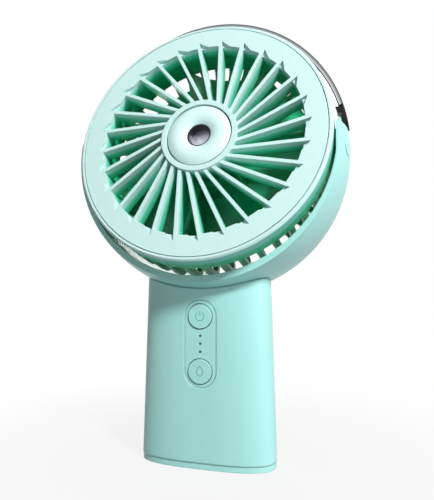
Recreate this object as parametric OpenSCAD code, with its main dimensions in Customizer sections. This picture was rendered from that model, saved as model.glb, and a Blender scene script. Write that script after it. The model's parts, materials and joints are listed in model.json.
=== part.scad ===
// Handheld misting fan: a tilting fan head in a U-shaped yoke on a flat handle,
// with a swinging hoop over the head and a mist nozzle in the hub.

/* [Head] */
// outer radius of the round head
head_r = 52; // [46:0.5:58]
// distance from the tilt axis to the front face
front_set = 13.7; // [12:0.1:16]
// angle of the fan axis above level at rest
tilt = 15.6; // [0:0.1:40]
// height of the lowest point of the yoke above the base
neck_z = 67.1; // [64:0.1:73]
// wall thickness of the head mouldings
head_wall = 2.2; // [1.6:0.1:2.8]

/* [Front grille] */
// width of the flat rim round the air opening
rim_w = 10.2; // [8:0.2:13]
// thickness of the rim plate
plate_t = 2.2; // [1.6:0.1:2.6]
// width of the groove between rim plate and bezel lip
groove_w = 0.3; // [0.15:0.05:0.6]
// width of the bezel lip
lip_w = 1.5; // [1:0.1:2.5]
// number of ribs
rib_count = 28; // [20:1:36]
// thickness of a rib
rib_t = 1.4; // [1:0.1:2]
// axial depth of the ribs
rib_depth = 6.5; // [4:0.1:7]
// sideways offset of each rib from the centre
rib_off = 7.3; // [3:0.1:9]
// angle of the first rib
rib_phase = 2.5; // [0:0.1:12]
// wall thickness of the sleeve round the opening
sleeve_t = 1.6; // [1.2:0.1:2]
// radial reach of the notch beside each rib end
notch_reach = 2.5; // [1:0.1:3.5]
// arc of the notch beside each rib end
notch_arc = 7.5; // [4:0.5:9]
// depth of the notch beside each rib end
notch_depth = 1.2; // [0.5:0.1:1.4]

/* [Nozzle] */
// outer radius of the hub ring
hub_r = 15.7; // [14.8:0.1:18]
// wall thickness of the hub ring
hub_wall = 2.1; // [1.5:0.1:2.5]
// height of the hub ring above the front face
hub_proud = 0.6; // [0:0.1:1.5]
// thickness of the hub floor
hub_floor = 1.5; // [1:0.1:2]
// gap between the dome and the hub ring
dome_gap = 0.6; // [0.2:0.1:0.8]
// height of the dome crest above the front face
crest_up = 1.3; // [0.8:0.1:2]
// radius of the dome crest
crest_r = 8.9; // [8:0.1:9.8]
// radius of the dome's outer curve
dome_curve = 8; // [7:0.5:14]
// curve radius of the funnel inside the dome's crest
funnel_r = 7.3; // [6:0.1:9]
// radius of the nozzle opening
nozzle_r = 4.9; // [4.2:0.1:5.4]
// radius of the atomiser disc
disc_r = 6; // [5.8:0.1:6.4]
// thickness of the atomiser disc
disc_t = 0.5; // [0.3:0.1:0.8]
// thickness of the atomiser seal
seal_t = 0.6; // [0.4:0.1:0.8]

/* [Rear cage] */
// length of the bezel from the front face to the cage seam
bezel_len = 5.2; // [4.6:0.1:6]
// radius of the rounded rear corner
corner_r = 6; // [4:0.5:8]
// distance of the rear face behind the tilt axis
rear_set = 14; // [13:0.1:15]
// number of slot positions round the cage
slot_count = 44; // [36:2:48]
// width of the bars between slots
bar_w = 2.4; // [1.8:0.1:3]
// inner radius of the slots on the rear face
slot_in = 43.5; // [40:0.5:45]
// distance of the air duct's rear end behind the tilt axis
duct_back = 1.2; // [0:0.1:2]
// distance of the slot ends behind the front face
slot_set = 9.4; // [6.6:0.1:10]

/* [Impeller] */
// number of blades
blade_count = 7; // [5:1:9]
// gap between the blade tips and the edge of the air opening
blade_gap = 1.3; // [0.8:0.1:6]
// thickness of a blade
blade_t = 1.3; // [1:0.1:2]
// radius of the blade's curve
blade_curve = 16; // [13:0.5:24]
// arc of the blade's section
blade_arc = 54; // [36:1:56]
// pitch of the blade's chord
blade_pitch = 38; // [25:1:40]

/* [Motor] */
// outer radius of the hollow axle
axle_r = 2.5; // [2.3:0.1:2.7]
// bore radius of the hollow axle
axle_bore = 1.6; // [1.2:0.1:1.8]
// outer radius of the stator core
stator_r = 9.3; // [8.6:0.1:9.4]
// length of the stator core
stator_len = 6; // [5:0.1:6.2]
// number of stator poles
pole_count = 9; // [6:3:9]
// outer radius of the rotor cup
rotor_r = 13; // [12.4:0.1:13]
// wall thickness of the rotor cup
rotor_wall = 0.8; // [0.6:0.1:1]
// air gap between stator and magnets
air_gap = 0.6; // [0.4:0.1:0.8]
// wall thickness of the impeller hub
impeller_wall = 2.1; // [1.6:0.1:2.4]

/* [Water tank] */
// outer radius of the tank
tank_r = 25; // [22:0.5:25.5]
// length of the tank behind the cage
tank_len = 12; // [9:0.5:16]
// wall thickness of the tank
tank_wall = 1.8; // [1.4:0.1:2.2]
// width of the tank flange
flange_w = 4.5; // [4.2:0.1:4.8]
// radius of the fill hole
fill_r = 4; // [3:0.1:5]
// distance of the fill hole from the centre
fill_off = 12; // [10:0.5:14]
// travel of the fill plug when pulled out
plug_travel = 6; // [4:0.5:8]

/* [Yoke] */
// gap between the swinging head and the yoke
swing_gap = 0.4; // [0.3:0.05:0.8]
// wall thickness of the yoke at the tilt axis
yoke_wall = 2.2; // [2.1:0.1:2.6]
// distance of the centre of the yoke's outer ball behind the tilt axis
yoke_back = 7; // [5:0.5:8]
// distance of the centre of the yoke's outer ball below the tilt axis
yoke_drop = 2.6; // [1.5:0.1:3]
// distance of the yoke's front edge from the tilt axis at the ears
yoke_front = 11; // [9:0.5:11.5]
// slope of the yoke's front edge, which comes forward towards the bottom
yoke_lean = 6; // [3:0.5:8]
// distance of the yoke's rear edge from the tilt axis
yoke_rear = 17.4; // [16.5:0.1:18]
// height of the ears above the tilt axis
ear_up = 6.2; // [6:0.1:6.4]
// corner radius of the ears
ear_corner = 5; // [4:0.5:5.5]
// radius of the pivot pins
pin_r = 2.5; // [2:0.1:2.8]
// radius of the pivot caps
cap_r = 5.4; // [5.1:0.1:5.5]

/* [Hoop] */
// distance of the hoop hinge behind and above the tilt axis
hinge_off = 10.6; // [10.6:0.1:11]
// inner clearance of the hoop over the head's swing
hoop_gap = 1.2; // [0.8:0.1:2]
// thickness of the hoop
hoop_t = 2.2; // [1.6:0.1:2.6]
// width of the hoop
hoop_w = 8.5; // [6:0.1:9]
// height of the hoop's lower ends above the tilt axis
hoop_end_up = 17.4; // [15.5:0.1:20]
// radius of the hinge ends
hinge_r = 3.4; // [3:0.1:3.4]
// radius of the hinge pins
hinge_pin_r = 1.2; // [0.9:0.1:1.5]

/* [Handle] */
// width of the handle at the base
handle_w = 55.8; // [52:0.2:60]
// width of the handle at its upper end
handle_top_w = 50.7; // [46:0.1:52]
// depth of the handle
handle_d = 22.4; // [22:0.1:26]
// squareness of the handle section
handle_n = 2.83; // [2.5:0.01:3.5]
// wall thickness of the handle
handle_wall = 1.6; // [1.2:0.1:2]
// thickness of the base cap
base_t = 2.4; // [2:0.1:3]
// height of the collar of the base cap inside the shell
base_collar = 3; // [2:0.1:3.2]

/* [Buttons] */
// width of the button panel
panel_w = 12.6; // [12:0.1:14]
// height of the button panel
panel_h = 33.9; // [32.5:0.1:36]
// thickness of the button panel
panel_t = 1.5; // [1.2:0.1:1.8]
// radius of a button
button_r = 4.75; // [4:0.05:5]
// height of the power button above the base
power_z = 59; // [58:0.1:60]
// distance between the buttons
button_pitch = 21.4; // [19:0.1:22]
// travel of a button
button_travel = 0.7; // [0.4:0.05:0.8]
// height of a button above the panel
button_proud = 0.5; // [0.3:0.1:1]
// radius of an indicator lens
lens_r = 0.5; // [0.4:0.05:0.8]
// distance between the indicator lenses
lens_pitch = 3.1; // [2.5:0.1:3.5]

/* [Inside the handle] */
// width of the battery
battery_w = 34; // [28:0.5:36]
// height of the battery
battery_h = 41; // [34:0.5:42]
// thickness of the battery
battery_t = 8.4; // [6:0.1:8.6]
// thickness of the control board
board_t = 1.2; // [0.8:0.1:1.4]
// height of a push switch body
switch_h = 2.4; // [2:0.1:2.6]

/* [Fits] */
// radial clearance of running shafts
run_gap = 0.05; // [0.03:0.01:0.08]
// radial clearance of pressed and screwed pieces
fit_gap = 0.02; // [0.01:0.01:0.04]
// radial clearance of the buttons and other loose moving pieces
loose_gap = 0.3; // [0.28:0.01:0.35]
// seam between the handle and the yoke
seam_gap = 0.15; // [0.1:0.01:0.25]

/* [Hidden] */
$fn = 96;
// overshoot of cutting shapes
cut = 1;
mint = [0.62, 0.87, 0.84];
pale = [0.80, 0.95, 0.93];
emerald = [0.10, 0.52, 0.40];
black = [0.07, 0.08, 0.08];
steel = [0.75, 0.76, 0.78];
bronze = [0.72, 0.55, 0.32];
copper = [0.74, 0.42, 0.24];
board_green = [0.08, 0.34, 0.20];
rubber = [0.22, 0.26, 0.27];

// head levels, measured along the fan axis from the tilt axis
seat_z = front_set - plate_t;
seam_z = front_set - bezel_len;
rear_z = -rear_set;
rear_in_z = rear_z + head_wall;
rib_z = front_set - rib_depth;
slot_z = front_set - slot_set;
bezel_flange_t = 1.8;
flange_z = seat_z - bezel_flange_t;
lip_in_r = head_r - lip_w;
plate_r = lip_in_r - groove_w;
open_r = head_r - rim_w;
blade_r = open_r - blade_gap;
bezel_flange_w = 3.1;
bezel_flange_r = open_r + sleeve_t + bezel_flange_w;
head_in_r = head_r - head_wall;
swing_r = sqrt(head_r * head_r + front_set * front_set);

// hub levels
hub_z = front_set + hub_proud;
hub_bore = hub_r - hub_wall;
floor_top = rib_z + hub_floor;
seal_top = floor_top + seal_t;
disc_top = seal_top + disc_t;
dome_r = hub_bore - dome_gap;
crest_z = front_set + crest_up;
funnel_w = crest_r - nozzle_r;
mouth_z = crest_z - funnel_r + sqrt(funnel_r * funnel_r - funnel_w * funnel_w);
collar_wall = 0.6;

// screw columns of the cage
column_r = 2.6;
column_at = open_r + sleeve_t + column_r + 0.5;
slot_step = 360 / slot_count;
column_ang = 2.5 * slot_step;
duct_in_r = open_r + 0.2;
duct_out_r = column_at - column_r + 0.6;
duct_top = rib_z - 0.2;
cage_screw_r = 1.1;
cage_head_r = 2;
cage_head_t = 1.4;
cage_screw_len = 9;
spigot_t = 1.5;

// motor levels
boss_r = axle_r + 2.1;
boss_step_r = boss_r + 0.8;
motor_board_z = rear_in_z + 1.2;
motor_board_t = 1.2;
stator_z = motor_board_z + motor_board_t + 1.2;
stator_top = stator_z + stator_len;
coil_over = 0.8;
rotor_top = stator_top + 2.4;
rotor_bottom = stator_z - 0.6;
rotor_in_r = rotor_r - rotor_wall;
magnet_in_r = stator_r + air_gap;
bush_r = axle_r + 1.4;
sleeve_r = bush_r + 1.3;
sleeve_top = rotor_top + 5.2;
bush_len = 2.2;
clip_z = sleeve_top + 0.2;
clip_t = 0.6;
axle_top = floor_top - 0.1;
axle_flange_t = 1.2;
axle_flange_r = axle_r + 1.2;
impeller_r = rotor_r + impeller_wall;
impeller_top = rotor_top + 1.8;
blade_room = 8;

// tank levels
tank_bottom = rear_z - tank_len;
flange_t = 2.4;
tank_flange_r = tank_r + flange_w;
tank_in_r = tank_r - tank_wall;
gasket_in = tank_in_r + 0.8;
gasket_out = gasket_in + 1.2;
gasket_t = 1;
tank_screw_at = tank_r + flange_w / 2 + 0.1;
tank_screw_r = 0.9;
tank_head_r = 1.7;
tank_head_t = 1.2;

// yoke and tilt joint
yoke_in = swing_r + swing_gap;
yoke_out = yoke_in + yoke_wall;
yoke_r = sqrt(yoke_out * yoke_out + yoke_back * yoke_back + yoke_drop * yoke_drop);
// height of the tilt axis, to the nearest 0.1
pivot_z = round(10 * (neck_z + yoke_drop + yoke_r)) / 10;
ear_in = head_r + 0.6;
corner_in = 0.92 * ear_corner;
pad_x = head_r + 0.4;
spot_x = head_r + 1.2;
pin_flange_x = spot_x + 0.9;
pin_flange_t = 0.6;
pin_flange_r = pin_r + 2.4;
cap_x = pin_flange_x + pin_flange_t;
cap_proud = 0.2;
pin_in_x = head_r - 6;
pivot_bush_r = pin_r + 1.3;
pivot_boss_r = pivot_bush_r + 1.4;
washer_gap = 0.1;
groove_half = 2;
groove_deep = 1.6;
cover_half = 3;
cover_t = 0.8;
groove_end = -9;

// hoop joint
hoop_in = swing_r + hoop_gap;
hoop_out = hoop_in + hoop_t;
lug_in_x = head_r + 0.3;
lug_out_x = lug_in_x + 1.4;
hinge_side_gap = 0.2;
hoop_end_x = lug_out_x + hinge_side_gap;
hoop_ang = asin(hoop_end_up / hoop_out);
lug_clear_up = hinge_off + hinge_r + 0.4;

// handle
handle_h = pivot_z - yoke_out * cos(asin(handle_w / 2 / yoke_out)) + 6;
handle_y = handle_d / 2;
inner_y = handle_y - handle_wall;
lean = (handle_w - handle_top_w) / 2 / handle_h;
yoke_low = pivot_z - yoke_drop - yoke_r;
bulk_t = 2.5;
plug_z = yoke_low - 0.6;
bulk_z = plug_z - bulk_t;
plug_w = 34;
plug_d = 14;
plug_fit = 0.1;
yoke_screw_at = 10;
yoke_screw_r = 1.4;
yoke_bite = 4;
yoke_head_r = 2.5;
yoke_head_t = 2;
shell_z = base_t;
base_in = 0.3;
base_screw_at = 18;
base_screw_r = 1.1;
base_head_r = 2.2;
base_head_t = 1.4;
base_post_r = 3;
base_post_h = 8;

// button panel
mist_z = power_z - button_pitch;
panel_mid = (power_z + mist_z) / 2;
panel_y = -handle_y;
pocket_y = panel_y + panel_t;
pad_y = pocket_y + 1.5;
hole_r = button_r + loose_gap;
button_flange_t = 0.7;
button_flange_r = hole_r + 0.7;
button_flange_y = pad_y + 0.05;
stem_r = 1.5;
stem_y = button_flange_y + button_flange_t + 0.2;
knob_r = 1.2;
knob_y = stem_y + button_travel + 0.05;
knob_h = 0.5;
switch_w = 6;
board_y = knob_y + knob_h + switch_h;
board_w = 21;
board_low = mist_z - 4.6;
board_high = power_z + 3.4;
post_x = 8.6;
post_r = 1.8;
post_up = 6.7;
board_screw_r = 0.8;
board_bite = 3.5;
board_head_r = 1.5;
board_head_t = 0.8;

// battery and charging socket
battery_pad_t = 0.5;
rest_y = inner_y - 1.6;
battery_y = rest_y - battery_pad_t - battery_t;
battery_z = 20;
usb_w = 9;
usb_h = 3.3;
usb_len = 7.4;
usb_gap = 0.3;
usb_board_w = 18;
usb_board_t = 1.2;
usb_board_z = base_t + base_collar + 2;
usb_board_d = 13;
usb_z = usb_board_z + usb_board_t;
usb_post_r = 2;

// frame of the tilted head: x to the right, y up the face, z out of the face
module in_head() {
    translate([0, 0, pivot_z]) rotate([90 - tilt, 0, 0]) children();
}

// frame of the yoke with the tilt axis at its origin
module in_yoke() {
    translate([0, 0, pivot_z]) children();
}

// tube between two levels
module tube(ro, ri, z0, z1) {
    translate([0, 0, z0]) difference() {
        cylinder(r = ro, h = z1 - z0);
        translate([0, 0, -cut]) cylinder(r = ri, h = z1 - z0 + 2 * cut);
    }
}

// solid cylinder between two levels
module rod(r, z0, z1) {
    translate([0, 0, z0]) cylinder(r = r, h = z1 - z0);
}

// cylinder along x between two positions
module xrod(r, x0, x1) {
    translate([x0, 0, 0]) rotate([0, 90, 0]) cylinder(r = r, h = x1 - x0);
}

// cylinder along y between two positions
module yrod(r, y0, y1) {
    translate([0, y0, 0]) rotate([-90, 0, 0]) cylinder(r = r, h = y1 - y0);
}

// both sides of the middle plane
module both() {
    children();
    mirror([1, 0, 0]) children();
}

// block between two corners
module block(a, b) {
    translate(a) cube(b - a);
}

// point of the flat oval section of the handle
function oval(a, b, n, t) = [
    a * sign(cos(t)) * pow(abs(cos(t)), 2 / n),
    b * sign(sin(t)) * pow(abs(sin(t)), 2 / n)
];

// flat oval outline inset from the handle surface, at a height above the base
module handle_outline(inset, z) {
    half = handle_w / 2 - lean * z - inset;
    deep = handle_y - inset;
    polygon([for (i = [0 : 95]) oval(half, deep, handle_n, i * 3.75)]);
}

// tapered oval body between two heights
module handle_body(inset, z0, z1) {
    half = handle_w / 2 - lean * z0 - inset;
    top = handle_w / 2 - lean * z1 - inset;
    translate([0, 0, z0]) linear_extrude(height = z1 - z0, scale = [top / half, 1], slices = 1)
        handle_outline(inset, z0);
}

// upright rounded slot shape along y
module stadium(w, h, y0, y1) {
    translate([0, y0, 0]) rotate([-90, 0, 0]) linear_extrude(y1 - y0) {
        square([w, h - w], center = true);
        for (s = [-1, 1]) translate([0, s * (h - w) / 2]) circle(w / 2);
    }
}

// lying rounded slot shape along y
module flat_stadium(w, h, y0, y1) {
    rotate([0, 90, 0]) stadium(h, w, y0, y1);
}

module at_posts() {
    for (x = [-post_x, post_x]) for (s = [-1, 1]) translate([x, 0, panel_mid + s * post_up]) children();
}

module at_buttons() {
    for (z = [mist_z, power_z]) translate([0, 0, z]) children();
}

module at_lenses() {
    for (k = [-1, 0, 1]) translate([0, 0, panel_mid + k * lens_pitch]) children();
}

module handle_shell() {
    color(mint) {
        difference() {
            handle_body(0, shell_z, handle_h);
            difference() {
                handle_body(handle_wall, shell_z - cut, bulk_z);
                // pad behind the button panel
                translate([0, 0, panel_mid]) stadium(panel_w + 3, panel_h + 3, -handle_y, pad_y);
                // rest for the battery
                block([-battery_w / 2, rest_y, battery_z], [battery_w / 2, handle_y, battery_z + battery_h]);
                // posts for the control board
                at_posts() yrod(post_r, -handle_y, board_y);
                // posts for the base screws
                for (s = [-1, 1]) translate([s * base_screw_at, 0, 0]) {
                    rod(base_post_r, base_t + base_collar, base_t + base_collar + base_post_h);
                    block([-1, 0, base_t + base_collar], [1, handle_y, base_t + base_collar + base_post_h]);
                }
            }
            in_yoke() yoke_ball(seam_gap);
            // pocket for the plug of the yoke
            block([-plug_w / 2 - plug_fit, -plug_d / 2 - plug_fit, plug_z],
                [plug_w / 2 + plug_fit, plug_d / 2 + plug_fit, handle_h]);
            for (s = [-1, 1]) translate([s * yoke_screw_at, 0, 0])
                rod(yoke_screw_r + fit_gap, bulk_z - cut, plug_z + cut);
            // wire hole through the bulkhead
            rod(groove_half, bulk_z - cut, plug_z + cut);
            // pocket and openings of the button panel
            translate([0, 0, panel_mid])
                stadium(panel_w + 2 * plug_fit, panel_h + 2 * plug_fit, panel_y - cut, pocket_y);
            at_buttons() {
                yrod(hole_r, panel_y - cut, pad_y + cut);
                yrod(button_flange_r + loose_gap, pad_y, knob_y);
            }
            at_lenses() yrod(lens_r + fit_gap, panel_y - cut, pad_y + cut);
            at_posts() yrod(board_screw_r + fit_gap, board_y - board_bite - 0.5, board_y + cut);
            for (s = [-1, 1]) translate([s * base_screw_at, 0, 0])
                rod(base_screw_r + fit_gap, base_t, base_t + base_collar + base_post_h - 1);
            // opening for the charging socket
            translate([0, 0, usb_z + usb_h / 2])
                flat_stadium(usb_w + 2 * usb_gap, usb_h + 2 * usb_gap, inner_y - 2 * cut, handle_y + cut);
        }
    }
}

module base_cap() {
    color(mint) difference() {
        union() {
            linear_extrude(base_t) handle_outline(base_in, 0);
            difference() {
                translate([0, 0, base_t]) linear_extrude(base_collar)
                    handle_outline(handle_wall + plug_fit, base_t + base_collar);
                translate([0, 0, base_t]) linear_extrude(base_collar + cut)
                    handle_outline(handle_wall + 2.2, base_t + base_collar);
            }
            for (s = [-1, 1]) translate([s * base_screw_at, 0, 0])
                rod(base_post_r, base_t, base_t + base_collar);
            for (s = [-1, 1]) translate([s * (usb_board_w / 2 - usb_post_r), 0, 0]) {
                rod(usb_post_r, base_t, usb_board_z);
            }
        }
        for (s = [-1, 1]) translate([s * base_screw_at, 0, 0]) {
            rod(base_screw_r + fit_gap, -cut, base_t + base_collar + cut);
            rod(base_head_r + 0.2, -cut, base_head_t + 0.2);
        }
    }
}

module base_screws() {
    color(steel) for (s = [-1, 1]) translate([s * base_screw_at, 0, 0]) {
        rod(base_head_r, 0.2, base_head_t + 0.2);
        rod(base_screw_r, base_head_t + 0.2, base_t + base_collar + base_post_h - 2);
    }
}

// ball that shapes the outside of the yoke
module yoke_ball(grow = 0) {
    translate([0, yoke_back, -yoke_drop]) sphere(yoke_r + grow);
}

// space for the swinging head, flat beside the ears
module head_space() {
    intersection() {
        sphere(yoke_in);
        block([-ear_in, -head_r * 2, -head_r * 2], [ear_in, head_r * 2, head_r * 2]);
    }
}

// waste outside one rounded corner of an ear
module ear_waste(y, s) {
    translate([0, s * (y - corner_in), ear_up - corner_in]) difference() {
        block([0, s > 0 ? 0 : -ear_corner - 2, 0], [head_r * 2, s > 0 ? ear_corner + 2 : 0, ear_corner + 2]);
        xrod(ear_corner, -cut, head_r * 2 + cut);
    }
}

// open band that carries the head, between a leaning front edge and an upright rear edge
module yoke_band() {
    difference() {
        intersection() {
            yoke_ball();
            translate([0, -yoke_front, 0]) rotate([-yoke_lean, 0, 0])
                block([-head_r * 2, 0, -head_r * 2], [head_r * 2, head_r * 2, head_r]);
            block([-head_r * 2, -head_r, -head_r * 2], [head_r * 2, yoke_rear, ear_up]);
        }
        head_space();
        both() {
            ear_waste(yoke_front - ear_up * tan(yoke_lean), -1);
            ear_waste(yoke_rear, 1);
        }
    }
}

module yoke() {
    color(mint) difference() {
        union() {
            in_yoke() yoke_band();
            // lugs for the hoop hinge
            in_yoke() both() intersection() {
                union() {
                    translate([0, hinge_off, hinge_off]) xrod(hinge_r - 0.2, lug_in_x, lug_out_x);
                    block([lug_in_x, hinge_off - hinge_r + 0.2, ear_up - 3],
                        [lug_out_x, hinge_off + hinge_r - 0.2, hinge_off]);
                }
                sphere(yoke_out + 3);
            }
            // plug that sits in the top of the handle
            difference() {
                block([-plug_w / 2, -plug_d / 2, plug_z], [plug_w / 2, plug_d / 2, pivot_z - yoke_in * 0.8]);
                translate([0, 0, pivot_z]) sphere(yoke_in + yoke_wall / 2);
            }
        }
        in_yoke() both() {
            xrod(pin_r + fit_gap, head_r - cut, yoke_r + cut);
            xrod(pin_flange_r + 0.1, pin_flange_x, yoke_r + cut);
            xrod(cap_r + 0.1, cap_x, yoke_r + cut);
            // flat seat for the friction washer
            xrod(pivot_boss_r + 1, head_r - cut, spot_x);
            translate([0, hinge_off, hinge_off]) xrod(hinge_pin_r + run_gap, lug_in_x - cut, lug_out_x + cut);
        }
        for (s = [-1, 1]) translate([s * yoke_screw_at, 0, 0])
            rod(yoke_screw_r + fit_gap, plug_z - cut, plug_z + yoke_bite + 0.2);
        // wire hole through the plug and wire groove up to the right-hand pivot
        rod(groove_half, plug_z - cut, pivot_z - yoke_in);
        in_yoke() groove_band(head_r, yoke_in + groove_deep, groove_half);
        in_yoke() groove_band(head_r, yoke_in + cover_t, cover_half);
    }
}

// band along the inside of the yoke from its lowest point towards the right-hand ear
module groove_band(r0, r1, half) {
    rotate([90, 0, 0]) rotate([0, 0, -94]) rotate_extrude(angle = 94 + groove_end)
        translate([r0, -half]) square([r1 - r0, 2 * half]);
}

module wire_cover() {
    color(mint) in_yoke() groove_band(yoke_in + 0.1, yoke_in + cover_t, cover_half);
}

module yoke_screws() {
    color(steel) for (s = [-1, 1]) translate([s * yoke_screw_at, 0, 0]) {
        rod(yoke_head_r, bulk_z - yoke_head_t, bulk_z);
        rod(yoke_screw_r, bulk_z, plug_z + yoke_bite);
    }
}

module pivot_pins() {
    color(steel) in_yoke() both() difference() {
        union() {
            xrod(pin_r, pin_in_x, pin_flange_x);
            xrod(pin_flange_r, pin_flange_x, cap_x);
        }
        // wire passage
        xrod(pin_r - 0.9, pin_in_x - cut, cap_x + cut);
    }
}

module pivot_caps() {
    color(mint) in_yoke() both() intersection() {
        xrod(cap_r, cap_x, yoke_r + cut);
        yoke_ball(cap_proud, $fn = 360);
    }
}

module friction_washers() {
    color(rubber) in_yoke() both() difference() {
        xrod(pivot_boss_r, pad_x + washer_gap, spot_x);
        xrod(pin_r + fit_gap, head_r - cut, spot_x + cut);
    }
}

module button_panel() {
    color(pale) difference() {
        translate([0, 0, panel_mid]) stadium(panel_w, panel_h, panel_y, pocket_y);
        at_buttons() yrod(hole_r, panel_y - cut, pocket_y + cut);
        at_lenses() yrod(lens_r + fit_gap, panel_y - cut, pocket_y + cut);
    }
}

module indicator_lenses() {
    color(pale) at_lenses() {
        yrod(lens_r, panel_y, pad_y);
        yrod(lens_r * 2, pad_y, pad_y + 0.8);
    }
}

module control_board() {
    color(board_green) difference() {
        block([-board_w / 2, board_y, board_low], [board_w / 2, board_y + board_t, board_high]);
        at_posts() yrod(board_screw_r + fit_gap, board_y - cut, board_y + board_t + cut);
    }
}

module board_screws() {
    color(steel) at_posts() {
        yrod(board_screw_r, board_y - board_bite, board_y + board_t);
        yrod(board_head_r, board_y + board_t, board_y + board_t + board_head_t);
    }
}

// push switch on the control board
module push_switch() {
    block([-switch_w / 2, board_y - switch_h, -switch_w / 2], [switch_w / 2, board_y, switch_w / 2]);
    yrod(knob_r, knob_y, board_y - switch_h);
}

module power_switch() {
    color(black) translate([0, 0, power_z]) push_switch();
}

module mist_switch() {
    color(black) translate([0, 0, mist_z]) push_switch();
}

module battery() {
    color(steel) block([-battery_w / 2, battery_y, battery_z],
        [battery_w / 2, battery_y + battery_t, battery_z + battery_h]);
}

module battery_pad() {
    color(rubber) block([-battery_w / 2 + 4, battery_y + battery_t, battery_z + 4],
        [battery_w / 2 - 4, rest_y, battery_z + battery_h - 4]);
}

module usb_board() {
    color(board_green) block([-usb_board_w / 2, inner_y - 1 - usb_board_d, usb_board_z],
        [usb_board_w / 2, inner_y - 1, usb_z]);
}

module usb_socket() {
    color(steel) translate([0, 0, usb_z + usb_h / 2]) {
        difference() {
            flat_stadium(usb_w, usb_h, handle_y - usb_len, handle_y - 0.2);
            flat_stadium(usb_w - 0.6, usb_h - 0.6, handle_y - usb_len + 1, handle_y + cut);
        }
        block([-3.3, handle_y - usb_len + 0.5, -0.35], [3.3, handle_y - 1.2, 0.35]);
    }
}

// half section of the cup-shaped cage
module cage_section() {
    difference() {
        union() {
            translate([0, rear_z]) square([head_r - corner_r, seam_z - rear_z]);
            translate([0, rear_z + corner_r]) square([head_r, seam_z - rear_z - corner_r]);
            translate([head_r - corner_r, rear_z + corner_r]) circle(corner_r);
        }
        translate([-cut, rear_in_z]) square([head_r - corner_r + cut, seam_z - rear_z]);
        translate([-cut, rear_z + corner_r]) square([head_in_r + cut, seam_z - rear_z]);
        translate([head_r - corner_r, rear_z + corner_r]) circle(corner_r - head_wall);
    }
    // spigot inside the bezel
    translate([head_in_r - spigot_t, slot_z + 0.6]) square([spigot_t - fit_gap, flange_z - slot_z - 0.6]);
    translate([head_in_r - spigot_t, slot_z + 0.6]) square([spigot_t + 0.4, seam_z - slot_z - 0.6]);
}

// one air slot, widening outwards between parallel bars
module slot_shape() {
    h = slot_step / 2;
    b = bar_w / 2;
    function edge(r, s) = [r * cos(h) + b * sin(h), s * (r * sin(h) - b * cos(h))];
    polygon([edge(slot_in, 1), edge(slot_in, -1), edge(head_r + 2, -1), edge(head_r + 2, 1)]);
}

module at_columns() {
    for (a = [column_ang, 180 - column_ang, 180 + column_ang, -column_ang])
        rotate([0, 0, a]) translate([column_at, 0, 0]) children();
}

module rear_cage() {
    color(emerald) in_head() difference() {
        union() {
            difference() {
                rotate_extrude() cage_section();
                for (k = [0 : slot_count - 1])
                    if (k % (slot_count / 2) != 0)
                        rotate([0, 0, k * slot_step]) translate([0, 0, rear_z - cut])
                            linear_extrude(slot_z - rear_z + cut) slot_shape();
            }
            // screw columns
            at_columns() {
                rod(column_r, rear_in_z - 0.4, seam_z);
                block([0, -0.8, rear_in_z - 0.4], [head_in_r + 0.4 - column_at, 0.8, slot_z + 1.2]);
            }
            // air duct round the blades
            tube(duct_out_r, duct_in_r, -duct_back, duct_top);
            // bosses for the tilt pivots
            both() xrod(pivot_boss_r, pin_in_x, pad_x);
            // motor boss
            rod(boss_step_r, rear_in_z - 0.4, motor_board_z);
            rod(boss_r, rear_in_z - 0.4, stator_z);
            rod(axle_r + 1.2, rear_in_z - 0.4, stator_top - 1);
        }
        rod(axle_r + fit_gap, rear_z - cut, stator_top + cut);
        both() xrod(pivot_bush_r + fit_gap, pin_in_x - cut, pad_x + cut);
        at_columns() {
            rod(column_r + 0.1, seam_z, flange_z + cut);
            rod(cage_screw_r + fit_gap, seam_z - cage_screw_len, seam_z + cut);
        }
        for (a = [0 : 90 : 270]) rotate([0, 0, a + 45]) translate([tank_screw_at, 0, 0])
            rod(tank_screw_r + fit_gap, rear_z - cut, rear_in_z - 0.4);
    }
}

module front_bezel() {
    edge = 0.6;
    color(pale) in_head() difference() {
        union() {
            rotate_extrude() polygon([
                [head_r - edge, front_set], [head_r, front_set - edge], [head_r, seam_z],
                [head_in_r, seam_z], [head_in_r, flange_z], [bezel_flange_r, flange_z],
                [bezel_flange_r, seat_z], [lip_in_r, seat_z], [lip_in_r, front_set]
            ]);
            at_columns() rod(column_r, seam_z, seat_z - 0.3);
        }
        at_columns() {
            rod(cage_screw_r + fit_gap, seam_z - cut, seat_z + cut);
            rod(cage_head_r + 0.1, seat_z - cage_head_t, seat_z + cut);
        }
    }
}

module cage_screws() {
    color(steel) in_head() at_columns() {
        rod(cage_head_r, seat_z - cage_head_t, seat_z - 0.1);
        rod(cage_screw_r, seam_z - cage_screw_len + 0.5, seat_z - cage_head_t);
    }
}

// wedge notch beside the outer end of a rib
module notch_shape() {
    y0 = -rib_off - rib_t / 2;
    ro = open_r + notch_reach;
    ri = open_r - 1;
    a = asin(-y0 / ri) + notch_arc;
    polygon([
        [sqrt(ro * ro - y0 * y0), y0], [sqrt(ri * ri - y0 * y0), y0], [ri * cos(a), -ri * sin(a)]
    ]);
}

// plan of the ribs and the hub ring
module rib_plan() {
    rib_in = sqrt(pow(hub_bore + 1, 2) - rib_off * rib_off);
    rib_out = sqrt(pow(open_r + sleeve_t - 0.4, 2) - pow(rib_off + rib_t / 2, 2));
    for (k = [0 : rib_count - 1]) rotate(rib_phase + k * 360 / rib_count)
        translate([rib_in, -rib_off - rib_t / 2]) square([rib_out - rib_in, rib_t]);
    difference() {
        circle(hub_r);
        circle(hub_bore);
    }
}

// plan of a flat ring
module ring_plan(ro, ri) {
    difference() {
        circle(ro);
        circle(ri);
    }
}

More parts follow.
